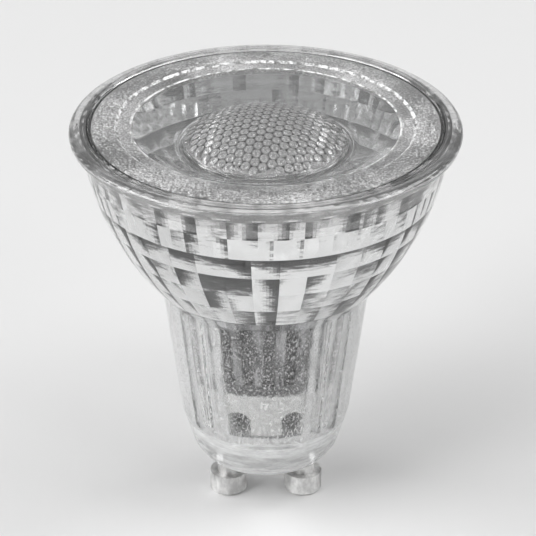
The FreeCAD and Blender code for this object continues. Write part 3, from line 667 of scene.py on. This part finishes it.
def make_glass():
    random.seed(7)
    skin = Rings("glass_skin")
    skin.bm.faces.layers.float.new("tone")
    base_ring, rim_ring = glass_outside(skin)
    seat_ring, floor_ring = glass_inside(skin)
    skin.flat(rim_ring, seat_ring)

    # Floor and base face, with the pins' holes between them
    floor_loops, base_loops = [floor_ring], [base_ring]
    for x in (-PIN_X, PIN_X):
        top = skin.circle(x, PIN_HOLE_R + HAIR, FLOOR_Z - HAIR)
        low = skin.circle(x, PIN_HOLE_R + HAIR, BASE_Z + PIN_SEAT_DEPTH + HAIR)
        seat = skin.circle(x, PIN_SEAT_R, BASE_Z + PIN_SEAT_DEPTH + HAIR)
        mouth = skin.circle(x, PIN_SEAT_R, BASE_Z)
        skin.wall(top, low)
        skin.wall(low, seat, smooth=False)
        skin.wall(seat, mouth)
        floor_loops.append(top)
        base_loops.append(mouth)
    skin.flat(*floor_loops, slot=BASE)
    skin.flat(*base_loops, slot=BASE)

    # Facet edges stay crisp, so each facet shades as its own
    for face in skin.bm.faces:
        if face.material_index == FACET:
            skin.sharpen(face.edges, CRISP_DEGREES)
    return skin.done(smooth_glass(), pebbled_glass(), facet_glass_painted_reflections(), rim_glass_painted_gleams(), bore_glass(),
                     base_glass(), sharp_degrees=30)


glass = make_glass()
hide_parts("glass_body")
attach(glass, "root")


# The front lens

def cap_rise(radius, height, distance):
    """Height of a round cap at a distance from its middle."""
    sphere = (radius ** 2 + height ** 2) / (2 * height)
    return math.sqrt(sphere ** 2 - distance ** 2) - (sphere - height)


def dome_surface(x, y, side):
    """Height of the dome at a place along the lattice's own directions, and how near a valley.

    The place lies on a lenslet, or on the flat round the dome's edge."""
    row_pitch = LENSLET_PITCH * math.sqrt(3) / 2
    row = round(y / row_pitch)
    nearest = None
    for r in (row - 1, row, row + 1):
        shift = LENSLET_PITCH * r / 2
        column = round((x - shift) / LENSLET_PITCH)
        for c in (column - 1, column, column + 1):
            centre = Vector((LENSLET_PITCH * c + shift, row_pitch * r))
            gap = (Vector((x, y)) - centre).length
            if nearest is None or gap < nearest[0]:
                nearest = (gap, centre.length)
    gap, centre_r = nearest
    if centre_r > DOME_R - 0.8 * side:
        return DOME_Z, 0.0
    top = DOME_Z + cap_rise(DOME_R, DOME_HEIGHT, math.hypot(x, y))
    return top + LENSLET_HEIGHT * (1 - gap ** 2 / side ** 2), gap / side


def lens_top():
    """Radius, height and material of each ring, from the seat over the band to the dome."""
    step_z = TOP_Z - 0.25
    profile = [
        (LENS_R - HAIR, SEAT_Z + HAIR, FROST),
        (LENS_R - HAIR, TOP_Z - 0.3, FROST),
        (LENS_R - 0.08, TOP_Z - 0.1, FROST),
        (LENS_R - 0.25, TOP_Z, FROST),
        (STEP_R + 1.6, TOP_Z, FROST),
        (STEP_R + 0.1, TOP_Z, FROST),
        (STEP_R, TOP_Z - 0.06, LINE),
        (STEP_R - 0.16, TOP_Z - 0.22, LINE),
        (STEP_R - 0.28, step_z, LINE),
        (RECESS_R + 0.12, step_z, FROST),
        (RECESS_R, TOP_Z - 0.27, LINE),
        (RECESS_R - 0.14, TOP_Z - 0.33, LINE),
    ]
    drop = RECESS_Z - TOP_Z + 0.25
    for share in spaced(0.06, 0.96, 8):
        r = RECESS_R + (DOME_R + 0.6 - RECESS_R) * share
        bow = 0.35 * math.sin(share * math.pi) * 0.35
        profile.append((r, step_z + drop * share - bow, CLEAR))
    profile += [
        (DOME_R + 0.55, RECESS_Z, CLEAR),
        (DOME_R + 0.12, RECESS_Z, CLEAR),
        (DOME_R + 0.02, RECESS_Z + 0.1, CLEAR),
        (DOME_R, DOME_Z - 0.08, CLEAR),
        (DOME_EDGE_R, DOME_Z, CLEAR),
    ]
    return profile


def circle_through(a, b, c):
    """Centre and radius of the circle through three points."""
    (ax, az), (bx, bz), (cx, cz) = a, b, c
    a2, b2, c2 = ax * ax + az * az, bx * bx + bz * bz, cx * cx + cz * cz
    d = 2 * (ax * (bz - cz) + bx * (cz - az) + cx * (az - bz))
    ux = (a2 * (bz - cz) + b2 * (cz - az) + c2 * (az - bz)) / d
    uz = (a2 * (cx - bx) + b2 * (ax - cx) + c2 * (bx - ax)) / d
    return ux, uz, math.hypot(ax - ux, az - uz)


def lens_under():
    """The same for the underside: seat, sloping back, collimator and its cavity."""
    back_z = SEAT_Z - 0.05
    profile = [(BACK_SEAT_R, SEAT_Z + HAIR, FROST), (BACK_R, back_z, CLEAR)]
    drop = ROOT_Z + 0.1 - SEAT_Z + 0.05
    for share in spaced(0.15, 1, 5):
        r = BACK_R + (COLLIMATOR_R + 0.3 - BACK_R) * share
        profile.append((r, back_z + drop * share, CLEAR))
    bulge = ((COLLIMATOR_R + FOOT_R) / 2 + COLLIMATOR_BULGE, (ROOT_Z + FOOT_Z) / 2)
    ux, uz, rho = circle_through((COLLIMATOR_R, ROOT_Z), bulge, (FOOT_R, FOOT_Z))
    for z in spaced(ROOT_Z - 0.15, FOOT_Z, 20):
        profile.append((ux + math.sqrt(rho ** 2 - (z - uz) ** 2), z, CLEAR))
    profile.append((CAVITY_R, FOOT_Z, CLEAR))
    for share in spaced(0.2, 1, 4):
        profile.append((CAVITY_R - CAVITY_TAPER * share, FOOT_Z + CAVITY_HEIGHT * share, CLEAR))
    for r in spaced(4.0, 0.4, 9):
        rise = cap_rise(CAVITY_LENS_R, CAVITY_LENS_HEIGHT, r)
        profile.append((r, CAVITY_TOP_Z - rise, CLEAR))
    return profile


def lenslet_dome(skin, angles, edge_ring):
    """Dome inside a ring, on a lattice of points that follows the lenslets' edges."""
    side = LENSLET_PITCH / math.sqrt(3)
    fine = side / 5
    column_width = fine * math.sqrt(3) / 2
    to_lattice = Matrix.Rotation(-LENSLET_TURN, 2)
    from_lattice = Matrix.Rotation(LENSLET_TURN, 2)
    points = [to_lattice @ Vector((DOME_EDGE_R * math.sin(a), -DOME_EDGE_R * math.cos(a)))
              for a in angles]
    ring_edges = [(k, (k + 1) % len(points)) for k in range(len(points))]
    reach = int(DOME_EDGE_R / column_width) + 1
    for a in range(-reach, reach + 1):
        for b in range(-reach, reach + 1):
            place = Vector((column_width * a, fine * (b + (a % 2) / 2)))
            if place.length < DOME_EDGE_R - fine * 0.55:
                points.append(place)
    places, _, triangles, origins = delaunay_2d_cdt(points, ring_edges, [], 1, 1e-5)[:4]
    valley = skin.bm.verts.layers.float["valley"]
    built = []
    for place, origin in zip(places, origins):
        on_ring = [k for k in origin if k < len(angles)]
        if on_ring:
            built.append(edge_ring[on_ring[0]])
            continue
        z, depth = dome_surface(place.x, place.y, side)
        turned = from_lattice @ place
        built.append(skin.point(turned.x, turned.y, z))
        # Nearness to a valley, which the dome's material turns into painted shade
        built[-1][valley] = depth
    for corners in triangles:
        face = skin.bm.faces.new([built[k] for k in corners])
        face.smooth = True
        face.material_index = DOME


def make_lens():
    skin = Rings("lens_skin")
    skin.bm.verts.layers.float.new("valley")
    angles = even_angles(LENS_STEP)
    profile = lens_top()
    top = [skin.ring(angles, r, z) for r, z, _ in profile]
    for low, high, (_, _, slot) in zip(top, top[1:], profile[1:]):
        skin.wall(low, high, slot=slot)
    lenslet_dome(skin, angles, top[-1])
    profile = lens_under()
    under = [top[0]] + [skin.ring(angles, r, z) for r, z, _ in profile]
    for high, low, (_, _, slot) in zip(under, under[1:], profile):
        skin.wall(high, low, slot=slot)
    centre = skin.point(0, 0, CAVITY_TOP_Z - CAVITY_LENS_HEIGHT)
    last = under[-1]
    for a, b in zip(last, last[1:] + last[:1]):
        skin.bm.faces.new((a, b, centre)).smooth = True
    return skin.done(clear_lens(), frosted_band(), lenslet_plastic_painted_shade(), ground_edge(),
                     sharp_degrees=38)


lens = make_lens()
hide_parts("front_lens")
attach(lens, "root")


# Finishes of the pieces that keep their solids

def finish(mat, *names):
    for name in names:
        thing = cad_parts[name]
        thing.data.materials.clear()
        thing.data.materials.append(mat)
        for face in thing.data.polygons:
            face.material_index = 0


def worn(mat, shader, tree, tones, source, rough_ends):
    """Two tones of a finish, with roughness and a faint relief that follow them."""
    tree.links.new(two_tone(tree, source, *tones), shader.inputs["Base Color"])
    tree.links.new(ramp(tree, source, 0.3, 0.7, *rough_ends), shader.inputs["Roughness"])
    bump(tree, shader, source, 0.00002, 0.5)
    return mat


def metal(name, dark, light, rough, grain, stretch=None):
    mat, shader, tree = material(name, light, Metallic=1.0, Roughness=rough)
    source = noise(tree, grain, 3.0, 0.6, stretch)
    return worn(mat, shader, tree, (dark, light), source, (rough * 0.8, rough * 1.3))


def plain(name, dark, light, rough, grain, stretch=None, coat=0.0):
    mat, shader, tree = material(name, light, Roughness=rough)
    shader.inputs["Coat Weight"].default_value = coat
    source = noise(tree, grain, 3.0, 0.6, stretch)
    return worn(mat, shader, tree, (dark, light), source, (rough * 0.85, rough * 1.15))


def painted_shade_moulding():
    """White plastic, painted nearly black above a ragged line as painted shade."""
    mat, shader, tree = material("white_moulding_painted_shade", (0.88, 0.88, 0.87), Roughness=0.45)
    ragged = ramp(tree, noise(tree, 1400, 4.0, 0.7), 0.3, 0.7, -0.35, 0.35)
    painted_shade_mask = plus(tree, height_mask(tree, PAINTED_SHADE_Z - 0.5, PAINTED_SHADE_Z + 0.5), ragged)
    # Painted shade: nearly black above the height, white below it
    tones = two_tone(tree, painted_shade_mask, (0.9, 0.9, 0.89), 0.06, 0.45, 0.6)
    tree.links.new(tones, shader.inputs["Base Color"])
    bump(tree, shader, noise(tree, 300, 3.0, 0.6), 0.00002, 0.5)
    return mat


def finish_pins():
    """Nickel, with the riveted ends inside the lamp painted dark as painted shade."""
    nickel = metal("dull_nickel", (0.5, 0.498, 0.494), (0.88, 0.878, 0.872), 0.5, 700, (1, 1, 0.6))
    painted_dark_rivet = metal("rivet_painted_shade", 0.03, 0.2, 0.5, 1600)
    for name in ("contact_pin_left", "contact_pin_right"):
        finish(nickel, name)
        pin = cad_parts[name]
        pin.data.materials.append(painted_dark_rivet)
        for face in pin.data.polygons:
            # Painted shade on the pins' ends above this height
            if (pin.matrix_world @ face.center).z > RIVET_SHADE_Z * MM:
                face.material_index = 1


finish(clear_adhesive(), "lens_adhesive")
finish(metal("satin_aluminium", (0.05, 0.05, 0.051), (0.42, 0.42, 0.425), 0.34, 900, (1, 1, 0.12)),
       "heat_spreader")
finish_pins()
finish(metal("tinned_wire", 0.1, 0.2, 0.4, 1200), "pin_wire_left", "pin_wire_right")
finish(metal("bright_steel", 0.5, 0.66, 0.28, 1200), "board_screw_front", "board_screw_back")
finish(plain("grey_pad", (0.38, 0.39, 0.4), (0.46, 0.47, 0.48), 0.7, 600), "thermal_pad")
finish(plain("white_board_mask", (0.74, 0.74, 0.73), (0.82, 0.82, 0.81), 0.4, 400, coat=0.2),
       "led_board")
finish(plain("white_silicone", (0.76, 0.76, 0.75), (0.84, 0.84, 0.83), 0.5, 500), "led_dam_ring")
finish(plain("phosphor", (0.7, 0.67, 0.55), (0.76, 0.73, 0.62), 0.35, 800, coat=0.4),
       "led_phosphor")
finish(painted_shade_moulding(), "driver_insulator")
finish(plain("pale_laminate", (0.6, 0.61, 0.58), (0.72, 0.73, 0.7), 0.45, 1500, (1, 1, 3)),
       "driver_board")
finish(plain("dark_sleeve", (0.05, 0.05, 0.055), (0.09, 0.09, 0.1), 0.3, 300, coat=0.3),
       "input_capacitor", "output_capacitor")
finish(plain("ferrite", (0.1, 0.1, 0.105), (0.16, 0.16, 0.165), 0.6, 1500), "inductor_core")
finish(metal("enamelled_wire", (0.36, 0.27, 0.21), (0.56, 0.42, 0.34), 0.35, 2600, (1, 0.2, 1)),
       "inductor_winding")
finish(plain("black_moulding", 0.03, 0.055, 0.5, 2000), "bridge_rectifier", "driver_chip")
finish(plain("resistor_body", (0.36, 0.4, 0.38), (0.46, 0.5, 0.48), 0.35, 900, coat=0.4),
       "fusible_resistor")
finish(plain("pale_insulation", (0.66, 0.66, 0.64), (0.74, 0.74, 0.72), 0.45, 600),
       "led_wire_left")
finish(plain("black_insulation", 0.04, 0.07, 0.45, 600), "led_wire_right")


# Pale floor that runs up into a backdrop

def make_floor():
    skin = bmesh.new()
    rows = []
    curve_end = FLAT_ROWS + CURVE_STEPS
    for step in range(curve_end + 1 + WALL_ROWS):
        if step < FLAT_ROWS:
            y, z = -3.0 + 2.5 * step, 0.0
        else:
            turn = math.radians(90 * min((step - FLAT_ROWS) / CURVE_STEPS, 1))
            y = CURVE_Y + CURVE_R * math.sin(turn)
            z = CURVE_R - CURVE_R * math.cos(turn) + max(step - curve_end, 0) * WALL_STEP
        rows.append([skin.verts.new((x, y, z)) for x in (-4, 4)])
    for low, high in zip(rows, rows[1:]):
        skin.faces.new((low[0], low[1], high[1], high[0])).smooth = True
    mesh = bpy.data.meshes.new("floor")
    skin.to_mesh(mesh)
    skin.free()
    mat, shader, tree = material("pale_floor", 0.72, Roughness=0.9)
    shader.inputs["Specular IOR Level"].default_value = 0.1
    tones = two_tone(tree, noise(tree, 3, 2), 0.71, 0.73)
    tree.links.new(tones, shader.inputs["Base Color"])
    mesh.materials.append(mat)
    thing = bpy.data.objects.new("floor", mesh)
    bpy.context.scene.collection.objects.link(thing)


make_floor()


# Studio light

def softbox(name, place, size, watts):
    data = bpy.data.lights.new(name, "AREA")
    data.shape = "RECTANGLE"
    data.size, data.size_y = size
    data.energy = watts
    lamp = bpy.data.objects.new(name, data)
    lamp.location = place
    lamp.rotation_euler = (LAMP_AIM - Vector(place)).to_track_quat("-Z", "Y").to_euler()
    bpy.context.scene.collection.objects.link(lamp)


softbox("left_light", (-1.4, -0.3, 1.3), (2.1, 0.8), 27.0)
softbox("right_light", (1.4, 0.1, 1.3), (1.9, 0.8), 19.5)
softbox("top_light", (0.0, -0.6, 1.7), (1.2, 0.5), 8.0)
softbox("front_left_light", (-1.2, -1.0, 0.5), (0.6, 1.2), 10.0)
softbox("front_right_light", (1.1, -1.2, 0.6), (0.3, 1.4), 4.5)


def make_world():
    """Dim sky, and a pale horizon under it for camera, mirror and see-through rays."""
    world = bpy.data.worlds.new("studio")
    bpy.context.scene.world = world
    world.use_nodes = True
    tree = world.node_tree
    way = node(tree, "ShaderNodeTexCoord")
    parts = node(tree, "ShaderNodeSeparateXYZ")
    tree.links.new(way.outputs["Generated"], parts.inputs["Vector"])
    sky = tree.nodes["Background"]
    dim = stops(tree, parts.outputs["Z"], ((0.0, 0.34), (0.35, 0.26), (0.75, 0.08), (1.0, 0.04)))
    tree.links.new(dim, sky.inputs["Color"])
    pale = node(tree, "ShaderNodeBackground")
    horizon = stops(tree, parts.outputs["Z"],
                    ((0.1, 0.8), (0.22, 0.29), (0.35, 0.26), (0.75, 0.08), (1.0, 0.04)))
    tree.links.new(horizon, pale.inputs["Color"])
    path = node(tree, "ShaderNodeLightPath")
    seen = path.outputs["Is Camera Ray"]
    for kind in ("Is Glossy Ray", "Is Transmission Ray"):
        seen = combine(tree, "MAXIMUM", seen, path.outputs[kind])
    blend = node(tree, "ShaderNodeMixShader")
    tree.links.new(seen, blend.inputs["Fac"])
    tree.links.new(sky.outputs["Background"], blend.inputs[1])
    tree.links.new(pale.outputs["Background"], blend.inputs[2])
    tree.links.new(blend.outputs["Shader"], tree.nodes["World Output"].inputs["Surface"])


make_world()


def make_camera():
    """Camera at the photograph's angle."""
    data = bpy.data.cameras.new("camera")
    data.sensor_width = 36.0
    data.lens = 194.3
    data.shift_x = 0.0041
    data.clip_start = 0.01
    camera = bpy.data.objects.new("camera", data)
    target = Vector((0, 0, VIEW_HEIGHT * MM))
    way = Vector((0, -math.cos(VIEW_DOWN), math.sin(VIEW_DOWN)))
    camera.location = target + way * VIEW_DISTANCE * MM
    camera.rotation_euler = (target - camera.location).to_track_quat("-Z", "Y").to_euler()
    bpy.context.scene.collection.objects.link(camera)
    bpy.context.scene.camera = camera


make_camera()

scene = bpy.context.scene
scene.view_settings.view_transform = "Standard"
scene.cycles.max_bounces = 24
scene.cycles.transmission_bounces = 24

bpy.context.view_layer.update()
